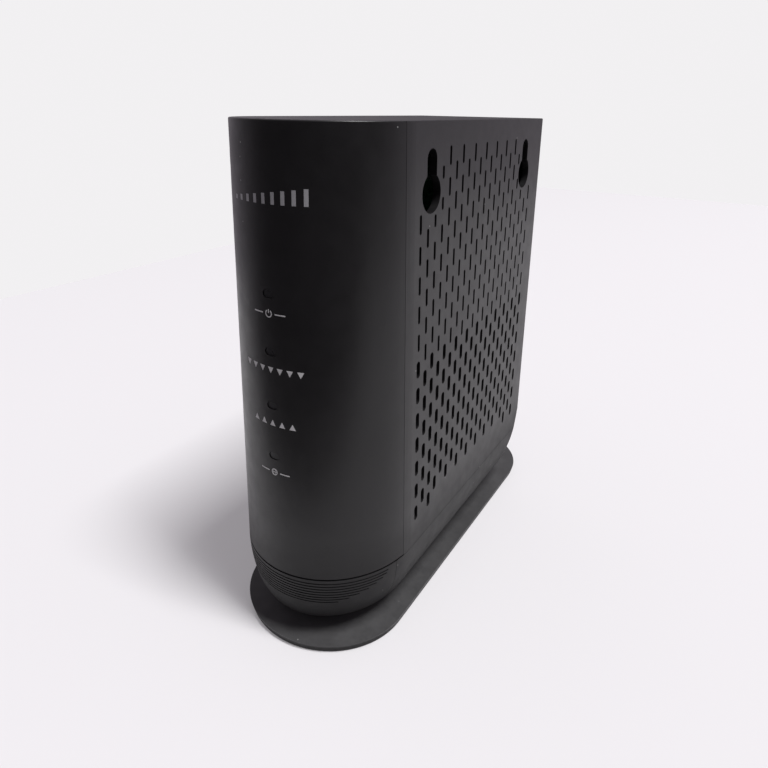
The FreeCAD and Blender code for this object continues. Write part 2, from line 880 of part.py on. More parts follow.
def lowest_edge(shape):
    """The name of the shape's lowest closed edge."""
    level = [edge for edge in shape.Edges if edge.Closed]
    lowest = min(level, key=lambda edge: edge.BoundBox.ZMax)
    return f"Edge{[edge.isSame(lowest) for edge in shape.Edges].index(True) + 1}"


def screw(name, head_radius, head_depth, shank_radius, shank_length, at, axis):
    """A pan-head screw: its head's underside is at the given place, its shank along the axis."""
    opposite = {"+X": "-X", "-X": "+X", "+Y": "-Y", "-Y": "+Y", "+Z": "-Z"}[axis]
    head = cylinder(name + "_head", head_radius, head_depth, at, opposite)
    shank = cylinder(name + "_shank", shank_radius, shank_length, at, axis)
    socket = cylinder(name + "_socket", "drive_radius", f"{head_depth} / 2",
                      offset(at, axis, head_depth), axis)
    return cut(name, fuse(name + "_solid", [head, shank]), [socket])


def offset(at, axis, distance):
    """A place moved back along an axis by a distance."""
    back = "-" if axis[0] == "+" else "+"
    index = "XYZ".index(axis[1])
    return tuple(f"{text} {back} ({distance})" if k == index else text for k, text in enumerate(at))


def make_foot_fixings():
    seat = "foot_screw_seat"
    screws = [screw(f"foot_screw_{k}", "foot_screw_head", "foot_screw_head_depth", "foot_screw_radius",
                    "foot_screw_length", ("0", place_y, seat), "+Z")
              for k, place_y in enumerate(("foot_screw_front", "foot_screw_rear"))]
    node(group("foot_screw_set", screws), "foot_screws")
    label = box("label_plate", ("label_width", "label_length", "label_thickness"),
                ("-label_width / 2", "label_centre - label_length / 2", "foot_lift"))
    node(label, "rating_label")


# --------------------------------------------------------------------------
# rear panel


def make_rear_panel():
    face = "rear_face - panel_thickness"
    plate = box("panel_plate", ("panel_half_width * 2", "panel_thickness", "panel_top - panel_bottom"),
                ("-panel_half_width", face, "panel_bottom"))
    flange = box("panel_flange_plate",
                 ("(panel_half_width + panel_flange) * 2", "panel_flange_thickness + 0.2",
                  "panel_top - panel_bottom + panel_flange * 2"),
                 ("-panel_half_width - panel_flange", face + " - panel_flange_thickness",
                  "panel_bottom - panel_flange"))
    trim = box("panel_flange_trim",
               ("(panel_half_width + panel_flange) * 2 + 2", "0.3",
                "panel_top - panel_bottom + panel_flange * 2 + 2"),
               ("-panel_half_width - panel_flange - 1", face + " - 0.1",
                "panel_bottom - panel_flange - 1"))
    flange = cut("panel_flange_cut", flange, [trim])
    core = box("panel_core", ("panel_half_width * 2", "0.4", "panel_top - panel_bottom"),
               ("-panel_half_width", face + " - 0.2", "panel_bottom"))
    deep = "opening_reach"
    start = "rear_face - opening_reach / 2"
    holes = [box(f"jack_opening_{k}",
                 ("jack_height + opening_gap * 2", deep, "jack_width + opening_gap * 2"),
                 ("board_face - opening_gap", start, f"{level} - jack_width / 2 - opening_gap"))
             for k, level in enumerate(("jack_upper", "jack_lower"))]
    holes.append(box("power_opening",
                     ("power_body_width + opening_gap * 2", deep, "power_body_height + opening_gap * 2"),
                     ("board_face - opening_gap", start,
                      "power_height - power_body_height / 2 - opening_gap")))
    holes.append(cylinder("coax_opening", "coax_root_radius + opening_gap", deep,
                          ("coax_offset", start, "coax_height"), "+Y"))
    holes.append(cylinder("reset_opening", "reset_hole", deep,
                          ("reset_offset", start, "reset_height"), "+Y"))
    levels = ("panel_bottom + panel_screw_inset", "panel_top - panel_screw_inset")
    for k, level in enumerate(levels):
        holes.append(cylinder(f"panel_screw_hole_{k}", "panel_screw_hole", deep,
                              ("0", start, level), "+Y"))
    panel = cut("rear_panel_cut", fuse("rear_panel_solid", [plate, flange, core]), holes)
    node(panel, "rear_panel")
    screws = [screw(f"rear_screw_{k}", "small_head_radius", "small_head_depth", "small_shank_radius",
                    "panel_screw_length", ("0", "rear_face", level), "-Y")
              for k, level in enumerate(levels)]
    node(group("rear_screw_set", screws), "rear_screws")


# --------------------------------------------------------------------------
# electronics


def make_main_board():
    body = new_body("main_board_body")
    sketch = sketch_on(body, "YZ_Plane", "board_outline")
    rectangle(sketch, "edge", "board_rear - board_front", "board_top - board_bottom",
              ("(board_rear + board_front) / 2", "(board_top + board_bottom) / 2"))
    pad(body, sketch, "board_thickness")
    holes = sketch_on(body, "YZ_Plane", "board_holes")
    levels = ("board_bottom + board_hole_margin", "board_top - board_hole_margin")
    for k, y in enumerate(("board_hole_front", "board_hole_rear")):
        for n, z in enumerate(levels):
            circle(holes, f"hole_{k}{n}", "board_hole_radius", (y, z))
    pocket(body, holes)
    place(body, ("board_face - board_thickness", "0", "0"))
    node(body, "main_board")
    screws = [screw(f"board_screw_{k}{n}", "small_head_radius", "small_head_depth", "small_shank_radius",
                    "board_screw_length + board_thickness", ("board_face", y, z), "-X")
              for k, y in enumerate(("board_hole_front", "board_hole_rear"))
              for n, z in enumerate(levels)]
    node(group("board_screw_set", screws), "board_screws")


def chip(label, y, z, width, height, thickness):
    """A flat package on the board's component side, centred at a place."""
    part = box(label + "_package", (thickness, width, height),
               ("board_face", f"{y} - ({width}) / 2", f"{z} - ({height}) / 2"))
    return node(part, label)


def make_chips():
    chip("main_processor", "processor_y", "processor_z", "processor_width", "processor_width",
         "processor_thickness")
    pad_box = box("thermal_pad_sheet",
                  ("thermal_pad_thickness", "thermal_pad_width", "thermal_pad_width"),
                  ("board_face + processor_thickness", "processor_y - thermal_pad_width / 2",
                   "processor_z - thermal_pad_width / 2"))
    node(pad_box, "thermal_pad")
    chip("memory_chip_1", "2.5", "87", "9", "13", "1.2")
    chip("memory_chip_2", "2.5", "103", "9", "13", "1.2")
    chip("flash_chip", "2", "117", "8", "6", "1")
    chip("clock_crystal", "-22", "60", "3.2", "5", "1.1")
    chip("power_inductor_1", "-30", "46", "8", "8", "4.5")
    chip("power_inductor_2", "-18", "46", "8", "8", "4.5")
    chip("jack_transformer_1", "22", "jack_upper", "12", "14", "5.5")
    chip("jack_transformer_2", "22", "jack_lower", "12", "14", "5.5")
    for index, (y, z) in enumerate([("-6", "42"), ("6", "39"), ("17", "42")], start=1):
        can = cylinder(f"capacitor_{index}_can", "capacitor_radius", "capacitor_height",
                       ("board_face", y, z), "+X")
        node(can, f"capacitor_{index}")


def make_heatsink():
    body = new_body("heatsink_body")
    base = sketch_on(body, "YZ_Plane", "heatsink_base")
    rectangle(base, "plate", "heatsink_width", "heatsink_height")
    pad(body, base, "heatsink_base")
    fin = sketch_on(body, "YZ_Plane", "heatsink_fin")
    rectangle(fin, "blade", "fin_thickness", "heatsink_height",
              ("(fin_thickness - heatsink_width) / 2", "0"))
    blade = pad(body, fin, "heatsink_depth")
    fins = body.newObject("PartDesign::LinearPattern", "heatsink_fins")
    fins.Originals = [blade]
    fins.Direction = (fin, ["H_Axis"])
    bind(fins, "Length", "heatsink_width - fin_thickness")
    bind(fins, "Occurrences", "fin_count")
    body.Tip = fins
    place(body, ("board_face + processor_thickness + thermal_pad_thickness",
                 "processor_y", "processor_z"))
    node(body, "heatsink")


def make_tuner_shield():
    body = new_body("tuner_shield_body")
    outline = sketch_on(body, "YZ_Plane", "shield_outline")
    rectangle(outline, "can", "shield_length", "shield_height")
    pad(body, outline, "shield_depth")
    hollow = sketch_on(body, "YZ_Plane", "shield_hollow")
    rectangle(hollow, "inside", "shield_length - shield_sheet * 2", "shield_height - shield_sheet * 2")
    pocket(body, hollow, "shield_depth - shield_sheet")
    place(body, ("board_face", "shield_centre", "coax_height"))
    node(body, "tuner_shield")


def make_ethernet_jacks():
    for index, level in enumerate(("jack_upper", "jack_lower"), start=1):
        body = new_body(f"jack{index}_body")
        shell = sketch_on(body, "XZ_Plane", f"jack{index}_outline")
        rectangle(shell, "shell", "jack_height", "jack_width", ("jack_height / 2", "0"))
        pad(body, shell, "jack_depth")
        socket = sketch_on(body, "XZ_Plane", f"jack{index}_socket")
        rectangle(socket, "socket", "socket_height", "socket_width",
                  ("socket_floor + socket_height / 2", "0"))
        pocket(body, socket, "socket_depth")
        latch = sketch_on(body, "XZ_Plane", f"jack{index}_latch")
        rectangle(latch, "latch", "latch_depth", "latch_width",
                  ("socket_floor + socket_height + latch_depth / 6", "0"))
        pocket(body, latch, "socket_depth - 2")
        place(body, ("board_face", "rear_face", level))
        node(body, f"ethernet_jack_{index}")
        pins = [box(f"jack{index}_pin_{k}", ("contact_thickness", "contact_length", "contact_width"),
                    ("board_face + socket_floor + 0.3", "rear_face - socket_depth",
                     f"{level} - contact_width / 2 + {k - 3.5} * contact_pitch")) for k in range(8)]
        node(group(f"jack{index}_pins", pins), f"ethernet_contacts_{index}")


def make_coax():
    root = "rear_face - coax_root"
    at = ("coax_offset", root, "coax_height")
    face = ("coax_offset", "rear_face", "coax_height")
    middle = ("coax_offset", "rear_face / 2", "coax_height")
    through = "rear_face"
    shank = cylinder("coax_shank", "coax_root_radius", "coax_root + coax_reach", at, "+Y")
    thread = cylinder("coax_thread", "coax_radius", "coax_reach - coax_plain",
                      ("coax_offset", "rear_face + coax_plain", "coax_height"), "+Y")
    block_reach = "coax_offset + coax_block_width / 2 - board_face"
    block = box("coax_block", (block_reach, "coax_block_depth", "coax_block_width"),
                ("board_face", root, "coax_height - coax_block_width / 2"))
    bore = cylinder("coax_bore", "coax_bore_radius", through, middle, "+Y")
    node(cut("coax_body", fuse("coax_solid", [shank, thread, block]), [bore]), "coax_connector")
    core = cylinder("coax_core", "coax_bore_radius", "coax_root + coax_reach - 1", at, "+Y")
    core_hole = cylinder("coax_core_hole", "coax_pin_radius", through, middle, "+Y")
    node(cut("coax_core_cut", core, [core_hole]), "coax_insulator")
    pin = cylinder("coax_pin", "coax_pin_radius", "coax_root + coax_reach - 1.4", at, "+Y")
    pin_hole = cylinder("coax_pin_hole", "coax_contact_radius", through, face, "+Y")
    node(cut("coax_pin_cut", pin, [pin_hole]), "coax_contact")
    ring = cylinder("washer_disc", "washer_radius", "washer_thickness", face, "+Y")
    ring_hole = cylinder("washer_hole", "coax_root_radius + 0.1", through, middle, "+Y")
    node(cut("washer_cut", ring, [ring_hole]), "coax_washer")
    nut = hexagon("nut_hexagon", "nut_radius", "nut_thickness",
                  ("coax_offset", "rear_face + washer_thickness", "coax_height"), "+Y")
    nut_hole = cylinder("nut_hole", "coax_root_radius + 0.03", through, middle, "+Y")
    node(cut("nut_cut", nut, [nut_hole]), "coax_nut")


def make_power_jack():
    body = new_body("power_jack_body")
    outline = sketch_on(body, "XZ_Plane", "power_outline")
    rectangle(outline, "housing", "power_body_width", "power_body_height", ("power_body_width / 2", "0"))
    pad(body, outline, "power_body_depth")
    bore = sketch_on(body, "XZ_Plane", "power_socket")
    circle(bore, "bore", "power_bore", ("power_offset - board_face", "0"))
    pocket(body, bore, "power_depth")
    place(body, ("board_face", "rear_face", "power_height"))
    node(body, "power_jack")
    pin = cylinder("power_pin_rod", "power_pin", "power_depth - 1",
                   ("power_offset", "rear_face - power_depth", "power_height"), "+Y")
    node(pin, "power_jack_pin")


def make_reset():
    """The reset switch, its plunger and the recessed button that presses it."""
    face = "rear_face - switch_setback"
    case = box("switch_case", ("(reset_offset - board_face) * 2", "switch_size", "switch_size"),
               ("board_face", face + " - switch_size", "reset_height - switch_size / 2"))
    bore = cylinder("switch_bore", "plunger_bore", "plunger_bore_depth",
                    ("reset_offset", face + " - plunger_bore_depth", "reset_height"), "+Y")
    node(cut("switch_cut", case, [bore]), "reset_switch")
    plunger = cylinder("plunger_rod", "plunger_radius", "plunger_length",
                       ("reset_offset", face + " + plunger_stand - plunger_length", "reset_height"), "+Y")
    node(plunger, "reset_plunger")
    at = ("reset_offset", face + " + plunger_stand", "reset_height")
    flange = cylinder("button_flange", "button_flange_radius", "button_flange_thickness", at, "+Y")
    stem = cylinder("button_stem", "reset_radius", "button_length", at, "+Y")
    node(fuse("button_solid", [flange, stem]), "reset_button")


def make_light_board():
    body = new_body("light_board_body")
    sketch = sketch_on(body, "XZ_Plane", "light_board_outline")
    rectangle(sketch, "edge", "light_board_width", "light_top - light_board_bottom + light_board_margin",
              ("light_board_offset", "(light_top + light_board_bottom + light_board_margin) / 2"))
    pad(body, sketch, "light_board_thickness")
    place(body, ("0", "light_board_front + light_board_thickness", "0"))
    node(body, "light_board")
    header = box("header_block", ("header_width", "header_depth", "header_length"),
                 ("board_face", "light_board_front + light_board_thickness", "header_low"))
    node(header, "light_board_header")
    for index in range(int(dim("light_count"))):
        chip_box = box(f"light_chip_{index}",
                       ("light_chip_width", "light_chip_depth", "light_chip_height"),
                       ("-light_chip_width / 2", "light_board_front - light_chip_depth",
                        f"light_top - {index} * light_pitch - light_chip_height / 2"))
        node(chip_box, f"indicator_led_{index + 1}")


def check_and_export():
    """Stop on any failed object, then write one STEP file for each piece."""
    doc.recompute()
    for obj in doc.Objects:
        if "Invalid" in obj.State or "Error" in obj.State:
            raise RuntimeError(f"{obj.Name} failed: {obj.State}")
    os.makedirs("parts", exist_ok=True)
    for obj in NODES:
        shape = obj.Shape
        if shape.isNull() or not shape.isValid() or shape.Volume <= 0:
            raise RuntimeError("bad shape in " + obj.Label)
        shape.exportStep(f"parts/{obj.Label}.step")
        print(f"{obj.Label:24s} {len(shape.Solids):2d} solid(s) {shape.Volume:10.1f} mm3")
    print(len(NODES), "pieces")


make_shells()
make_foot()
make_foot_pads()
make_foot_fixings()
make_rear_panel()
make_main_board()
make_chips()
make_heatsink()
make_tuner_shield()
make_ethernet_jacks()
make_coax()
make_power_jack()
make_reset()
make_light_board()
check_and_export()
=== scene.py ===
import json
import math

import bmesh
import bpy
from mathutils import Matrix, Vector
from mathutils.bvhtree import BVHTree


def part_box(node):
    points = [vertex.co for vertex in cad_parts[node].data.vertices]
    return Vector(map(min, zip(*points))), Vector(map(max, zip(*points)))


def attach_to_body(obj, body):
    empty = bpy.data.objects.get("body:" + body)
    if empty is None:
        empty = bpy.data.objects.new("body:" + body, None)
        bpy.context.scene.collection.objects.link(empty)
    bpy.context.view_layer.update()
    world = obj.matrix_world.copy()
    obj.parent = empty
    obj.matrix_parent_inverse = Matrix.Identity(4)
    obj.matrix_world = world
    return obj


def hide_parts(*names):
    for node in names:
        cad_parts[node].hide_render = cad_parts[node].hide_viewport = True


# Cable modem: finishes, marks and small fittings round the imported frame.
# Metres, +Z up, front towards -Y.

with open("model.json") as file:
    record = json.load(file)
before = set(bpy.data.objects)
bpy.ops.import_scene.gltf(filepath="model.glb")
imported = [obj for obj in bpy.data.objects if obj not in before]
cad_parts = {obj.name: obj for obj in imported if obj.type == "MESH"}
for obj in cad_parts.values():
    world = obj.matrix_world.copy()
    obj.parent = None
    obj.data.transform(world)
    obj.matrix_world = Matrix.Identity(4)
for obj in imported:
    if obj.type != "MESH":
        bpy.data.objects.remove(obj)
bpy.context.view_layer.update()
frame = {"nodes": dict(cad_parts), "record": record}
NODES = frame["nodes"]
MM = 0.001
BODY = "housing"

# --------------------------------------------------------------------------
# camera: a close, slightly wide view from the front right, looking down

CAMERA_AT = (0.09557, -0.17155, 0.15197)
CAMERA_YAW = math.radians(31.39)
CAMERA_PITCH = math.radians(-22.56)
CAMERA_ROLL = math.radians(0.985)
CAMERA_LENS = 27.565
CAMERA_SHIFT = (-0.00207, -0.04183)


def add_object(name, data):
    obj = bpy.data.objects.new(name, data)
    bpy.context.scene.collection.objects.link(obj)
    return obj


def make_camera():
    data = bpy.data.cameras.new("camera")
    data.lens = CAMERA_LENS
    data.sensor_width = 36.0
    data.shift_x, data.shift_y = CAMERA_SHIFT
    data.clip_start = 0.005
    data.clip_end = 100.0
    camera = add_object("camera", data)
    turn = Matrix.Rotation(CAMERA_YAW, 4, "Z")
    tilt = Matrix.Rotation(math.pi / 2 + CAMERA_PITCH, 4, "X")
    roll = Matrix.Rotation(CAMERA_ROLL, 4, "Z")
    camera.matrix_world = Matrix.Translation(CAMERA_AT) @ turn @ tilt @ roll
    bpy.context.scene.camera = camera


# --------------------------------------------------------------------------
# node helpers


def new_material(name):
    material = bpy.data.materials.new(name)
    material.use_nodes = True
    tree = material.node_tree
    return material, tree, tree.nodes["Principled BSDF"]


def position(tree):
    """The row frame's coordinates, which an object's own coordinates equal here."""
    return tree.nodes.new("ShaderNodeTexCoord").outputs["Object"]


def noise(tree, scale, detail=2.0, stretch=None):
    """Noise from 0 to 1; scale is in features per metre."""
    texture = tree.nodes.new("ShaderNodeTexNoise")
    texture.inputs["Scale"].default_value = scale
    texture.inputs["Detail"].default_value = detail
    source = position(tree)
    if stretch:
        mapping = tree.nodes.new("ShaderNodeMapping")
        mapping.inputs["Scale"].default_value = stretch
        tree.links.new(source, mapping.inputs["Vector"])
        source = mapping.outputs["Vector"]
    tree.links.new(source, texture.inputs["Vector"])
    return texture.outputs["Fac"]


def remap(tree, source, low, high, low_value, high_value):
    node = tree.nodes.new("ShaderNodeMapRange")
    for socket, value in (("From Min", low), ("From Max", high),
                          ("To Min", low_value), ("To Max", high_value)):
        node.inputs[socket].default_value = value
    tree.links.new(source, node.inputs["Value"])
    return node.outputs["Result"]


def math_node(tree, operation, first, second):
    node = tree.nodes.new("ShaderNodeMath")
    node.operation = operation
    for socket, value in zip(node.inputs, (first, second)):
        if isinstance(value, float):
            socket.default_value = value
        else:
            tree.links.new(value, socket)
    return node.outputs[0]


def mix_colour(tree, factor, first, second):
    node = tree.nodes.new("ShaderNodeMix")
    node.data_type = "RGBA"
    colours = [socket for socket in node.inputs if socket.type == "RGBA"]
    for socket, value in zip(colours, (first, second)):
        if isinstance(value, tuple):
            socket.default_value = (*value, 1)
        else:
            tree.links.new(value, socket)
    tree.links.new(factor, node.inputs[0])
    return [socket for socket in node.outputs if socket.type == "RGBA"][0]


def add_bump(tree, shader, height, distance, strength=0.5, under=None):
    bump = tree.nodes.new("ShaderNodeBump")
    bump.inputs["Strength"].default_value = strength
    bump.inputs["Distance"].default_value = distance
    tree.links.new(height, bump.inputs["Height"])
    if under:
        tree.links.new(under, bump.inputs["Normal"])
    tree.links.new(bump.outputs["Normal"], shader.inputs["Normal"])
    return bump.outputs["Normal"]


# --------------------------------------------------------------------------
# stage and light

# sizes in metres and widths in degrees; a fade is where a wall or the ceiling starts and is full
PALE = 0.885
PALE_TINT = (1.0, 0.986, 1.0, 1)
PAPER = (0.515, 0.507, 0.516, 1)
TABLE_GLOW = 0.160
TABLE_CORNERS = (-0.42, -0.150, 0.62, 1.1)
ROOM_TINT = (1.0, 0.915, 1.02, 1)
WALLS = 0.09
WALL_FADE = (0.35, 0.95)
CEILING = 0.46
CEILING_FADE = (0.30, 0.75)
BACK_WALL = 0.46
BACK_TOWARD = (0.45, 0.89)
LEFT_WALL = 0.45
LEFT_TOWARD = (-0.95, 0.31)
KEY_FROM = (0.37, 0.02, 0.93)
KEY_DISTANCE = 9.0
KEY_WIDTHS = (20.0, 11.0)
KEY_IRRADIANCE = 3.74


def make_stage():
    """A pale lit table top; beyond its edge the view meets an equally pale background."""
    left, front, right, back = TABLE_CORNERS
    corners = [(left, front, 0), (right, front, 0), (right, back, 0), (left, back, 0)]
    mesh = bpy.data.meshes.new("table")
    mesh.from_pydata(corners, [], [(0, 1, 2, 3)])
    material, tree, shader = new_material("table_top")
    shader.inputs["Base Color"].default_value = PAPER
    shader.inputs["Roughness"].default_value = 1.0
    shader.inputs["Specular IOR Level"].default_value = 0.0
    shader.inputs["Emission Color"].default_value = PALE_TINT
    shader.inputs["Emission Strength"].default_value = TABLE_GLOW
    mesh.materials.append(material)
    add_object("table", mesh)


def make_room():
    """A room dim in front and paler above, behind and on the left, before a pale backdrop."""
    world = bpy.data.worlds.new("studio")
    world.use_nodes = True
    tree = world.node_tree
    room = tree.nodes["Background"]
    place = tree.nodes.new("ShaderNodeTexCoord")
    split = tree.nodes.new("ShaderNodeSeparateXYZ")
    tree.links.new(place.outputs["Generated"], split.inputs[0])
    glow = remap(tree, split.outputs["Z"], *CEILING_FADE, WALLS, CEILING)
    for wall, (x, y) in ((BACK_WALL, BACK_TOWARD), (LEFT_WALL, LEFT_TOWARD)):
        facing = math_node(tree, "ADD", math_node(tree, "MULTIPLY", split.outputs["X"], x),
                           math_node(tree, "MULTIPLY", split.outputs["Y"], y))
        glow = math_node(tree, "MAXIMUM", glow, remap(tree, facing, *WALL_FADE, 0.0, wall))
    tree.links.new(glow, room.inputs["Strength"])
    room.inputs["Color"].default_value = ROOM_TINT
    backdrop = tree.nodes.new("ShaderNodeBackground")
    backdrop.inputs["Color"].default_value = PALE_TINT
    backdrop.inputs["Strength"].default_value = PALE
    path = tree.nodes.new("ShaderNodeLightPath")
    choose = tree.nodes.new("ShaderNodeMixShader")
    tree.links.new(path.outputs["Is Camera Ray"], choose.inputs[0])
    tree.links.new(room.outputs[0], choose.inputs[1])
    tree.links.new(backdrop.outputs[0], choose.inputs[2])
    tree.links.new(choose.outputs[0], tree.nodes["World Output"].inputs["Surface"])
    bpy.context.scene.world = world
    bpy.context.scene.view_settings.view_transform = "Standard"


def make_key_light():
    """A distant softbox, high and a little to the right."""
    data = bpy.data.lights.new("key", "AREA")
    data.shape = "RECTANGLE"
    half_angles = [math.radians(width / 2) for width in KEY_WIDTHS]
    data.size, data.size_y = (2 * KEY_DISTANCE * math.tan(angle) for angle in half_angles)
    data.energy = KEY_IRRADIANCE * math.pi * KEY_DISTANCE ** 2
    key = add_object("key", data)
    toward = Vector(KEY_FROM).normalized()
    across = Vector((0, 1, 0)).cross(toward).normalized()
    along = toward.cross(across)
    turn = Matrix((across, along, toward)).transposed().to_4x4()
    key.matrix_world = Matrix.Translation(toward * KEY_DISTANCE) @ turn


# --------------------------------------------------------------------------
# finishes: scales are features per metre

NOISE_RANGE = (0.3, 0.7)
SPECKS_PER_METRE = 230
SPECK_EDGE = (0.055, 0.035)
SPECK_STRENGTH = 0.5
SPECK_COLOUR = (0.4, 0.4, 0.39)
SPECK_PATCHES = SPECKS_PER_METRE * 0.6
SPECK_KEPT = (0.57, 0.60)


def dust(tree, colour):
    """A few settled specks over a colour."""
    cells = tree.nodes.new("ShaderNodeTexVoronoi")
    cells.inputs["Scale"].default_value = SPECKS_PER_METRE
    tree.links.new(position(tree), cells.inputs["Vector"])
    speck = remap(tree, cells.outputs["Distance"], *SPECK_EDGE, 0, SPECK_STRENGTH)
    keep = remap(tree, noise(tree, SPECK_PATCHES, 1), *SPECK_KEPT, 0, 1)
    return mix_colour(tree, math_node(tree, "MULTIPLY", speck, keep), colour, SPECK_COLOUR)


PLASTIC_GRAIN = 3600


def moulded_plastic(name, dark, light, roughness, depth=0.010 * MM, cloud=60, gloss_scale=240):
    """Matte moulded plastic: spark-eroded grain, cloudy gloss and a little settled dust."""
    material, tree, shader = new_material(name)
    shade = remap(tree, noise(tree, cloud, 4), *NOISE_RANGE, 0, 1)
    colour = dust(tree, mix_colour(tree, shade, dark, light))
    tree.links.new(colour, shader.inputs["Base Color"])
    gloss = remap(tree, noise(tree, gloss_scale, 3), *NOISE_RANGE, *roughness)
    tree.links.new(gloss, shader.inputs["Roughness"])
    coarse = add_bump(tree, shader, noise(tree, PLASTIC_GRAIN / 3, 2), depth * 2, 0.4)
    add_bump(tree, shader, noise(tree, PLASTIC_GRAIN, 2), depth, 0.6, coarse)
    return material


def plain(name, colour, roughness, metallic=0.0, grain=900, depth=0.008 * MM, spread=0.08,
          stretch=None):
    """A finish with slight cloudiness and grain, for metal, resin and film."""
    material, tree, shader = new_material(name)
    shader.inputs["Metallic"].default_value = metallic
    low = tuple(c * (1 - spread) for c in colour)
    high = tuple(min(1, c * (1 + spread)) for c in colour)
    tree.links.new(mix_colour(tree, noise(tree, 160, 3), low, high), shader.inputs["Base Color"])
    gloss = remap(tree, noise(tree, 500, 3), *NOISE_RANGE, roughness * 0.85, roughness * 1.15)
    tree.links.new(gloss, shader.inputs["Roughness"])
    add_bump(tree, shader, noise(tree, grain, 2, stretch), depth)
    return material


def board_finish():
    """Green solder mask over faint copper runs."""
    material, tree, shader = new_material("solder_mask")
    runs = tree.nodes.new("ShaderNodeTexBrick")
    runs.inputs["Scale"].default_value = 420
    runs.inputs["Mortar Size"].default_value = 0.035
    runs.offset = 0.35
    runs.squash = 2.0
    turn = tree.nodes.new("ShaderNodeMapping")
    turn.inputs["Rotation"].default_value = (math.pi / 2, 0, math.pi / 2)
    tree.links.new(position(tree), turn.inputs["Vector"])
    tree.links.new(turn.outputs["Vector"], runs.inputs["Vector"])
    colour = mix_colour(tree, runs.outputs["Fac"], (0.010, 0.060, 0.028), (0.030, 0.130, 0.060))
    tree.links.new(colour, shader.inputs["Base Color"])
    gloss = remap(tree, noise(tree, 400, 3), *NOISE_RANGE, 0.26, 0.36)
    tree.links.new(gloss, shader.inputs["Roughness"])
    add_bump(tree, shader, runs.outputs["Fac"], 0.03 * MM)
    return material


# painted shade: below these heights the foot's upright rim wall takes a near-black colour that
# stands in for the contact shade under the foot's edge
RIM_FADE = (1.9 * MM, 2.4 * MM)
RIM_PAINTED_SHADE = (0.007, 0.0068, 0.0071)
RIM_SPECULAR = 0.12
FOOT_SPECULAR = 0.20
HULL_FADE = (10 * MM, 40 * MM)
HULL_SPECULAR = 0.15
HULL_EXTRA_ROUGHNESS = 0.25
SHELL_SPECULAR = 0.40


def height_blend(tree, low, high):
    """A factor rising from 0 to 1 between two heights above the table."""
    split = tree.nodes.new("ShaderNodeSeparateXYZ")
    tree.links.new(position(tree), split.inputs[0])
    return remap(tree, split.outputs["Z"], low, high, 0, 1)


def shell_finish():
    """Matte black plastic, a little duller where it turns under towards the foot."""
    material = moulded_plastic("shell_plastic", (0.0078, 0.0073, 0.0078), (0.0100, 0.0094, 0.0101),
                               (0.33, 0.40))
    tree = material.node_tree
    shader = tree.nodes["Principled BSDF"]
    blend = height_blend(tree, *HULL_FADE)
    level = remap(tree, blend, 0, 1, HULL_SPECULAR, SHELL_SPECULAR)
    tree.links.new(level, shader.inputs["Specular IOR Level"])
    gloss = shader.inputs["Roughness"].links[0].from_socket
    extra = remap(tree, blend, 0, 1, HULL_EXTRA_ROUGHNESS, 0)
    tree.links.new(math_node(tree, "ADD", gloss, extra), shader.inputs["Roughness"])
    return material


def foot_finish():
    """Satin plastic, with painted shade darkening the rim's upright wall, which is also duller
    than the top.
    """
    material = moulded_plastic("foot_plastic", (0.043, 0.0425, 0.0435), (0.055, 0.0545, 0.0555),
                               (0.34, 0.50), depth=0.016 * MM, cloud=200, gloss_scale=800)
    tree = material.node_tree
    shader = tree.nodes["Principled BSDF"]
    above = height_blend(tree, *RIM_FADE)
    top_colour = shader.inputs["Base Color"].links[0].from_socket
    # painted shade: the rim wall's darker colour stands in for the shade under the foot's edge,
    # not for a darker plastic
    tree.links.new(mix_colour(tree, above, RIM_PAINTED_SHADE, top_colour), shader.inputs["Base Color"])
    level = remap(tree, above, 0, 1, RIM_SPECULAR, FOOT_SPECULAR)
    tree.links.new(level, shader.inputs["Specular IOR Level"])
    return material


FINISHES = {
    "shell": shell_finish(),
    "foot": foot_finish(),
    "panel": moulded_plastic("panel_plastic", (0.0064, 0.0060, 0.0064), (0.0082, 0.0078, 0.0082),
                             (0.42, 0.50)),
    "lens": plain("lens_plastic", (0.010, 0.010, 0.011), 0.30),
    "rubber": plain("pad_rubber", (0.02, 0.02, 0.02), 0.8, grain=1500, depth=0.03 * MM),
    "screw_steel": plain("zinc_steel", (0.5, 0.5, 0.52), 0.3, 1.0),
    "label": plain("label_film", (0.72, 0.72, 0.70), 0.45, spread=0.02),
    "circuit_board": board_finish(),
    "chip": plain("epoxy", (0.02, 0.02, 0.021), 0.55, grain=2500, depth=0.02 * MM),
    "thermal_pad": plain("silicone_pad", (0.30, 0.42, 0.52), 0.75),
    "heatsink": plain("extruded_aluminium", (0.68, 0.69, 0.71), 0.35, 1.0, 600,
                      stretch=(1, 1, 0.05)),
    "shield": plain("tinned_steel", (0.66, 0.66, 0.66), 0.28, 1.0),
    "ferrite": plain("ferrite_core", (0.05, 0.05, 0.05), 0.6),
    "can": plain("drawn_can", (0.7, 0.7, 0.72), 0.3, 1.0),
    "jack": plain("jack_plastic", (0.012, 0.012, 0.013), 0.38, grain=1800),
    "gold": plain("gold_plate", (0.85, 0.62, 0.25), 0.2, 1.0),
    "nickel": plain("nickel_plate", (0.66, 0.64, 0.60), 0.24, 1.0),
    "insulator": plain("white_insulator", (0.80, 0.80, 0.77), 0.5),
    "button": plain("button_plastic", (0.42, 0.03, 0.025), 0.42),
    "led": plain("led_resin", (0.75, 0.76, 0.70), 0.3),
}
INK = plain("pale_ink", (0.60, 0.60, 0.60), 0.55, spread=0.03, depth=0.004 * MM)
MARK_INK = plain("grey_ink", (0.36, 0.36, 0.37), 0.45, spread=0.03, depth=0.004 * MM)
PORT_LIGHT = plain("port_light_resin", (0.25, 0.42, 0.16), 0.25)


def dress_nodes():
    """Give each CAD node the finish of its record slot."""
    for part in frame["record"]["subparts"]:
        obj = NODES[part["node"]]
        obj.data.materials.clear()
        obj.data.materials.append(FINISHES[part["material_slot"]])


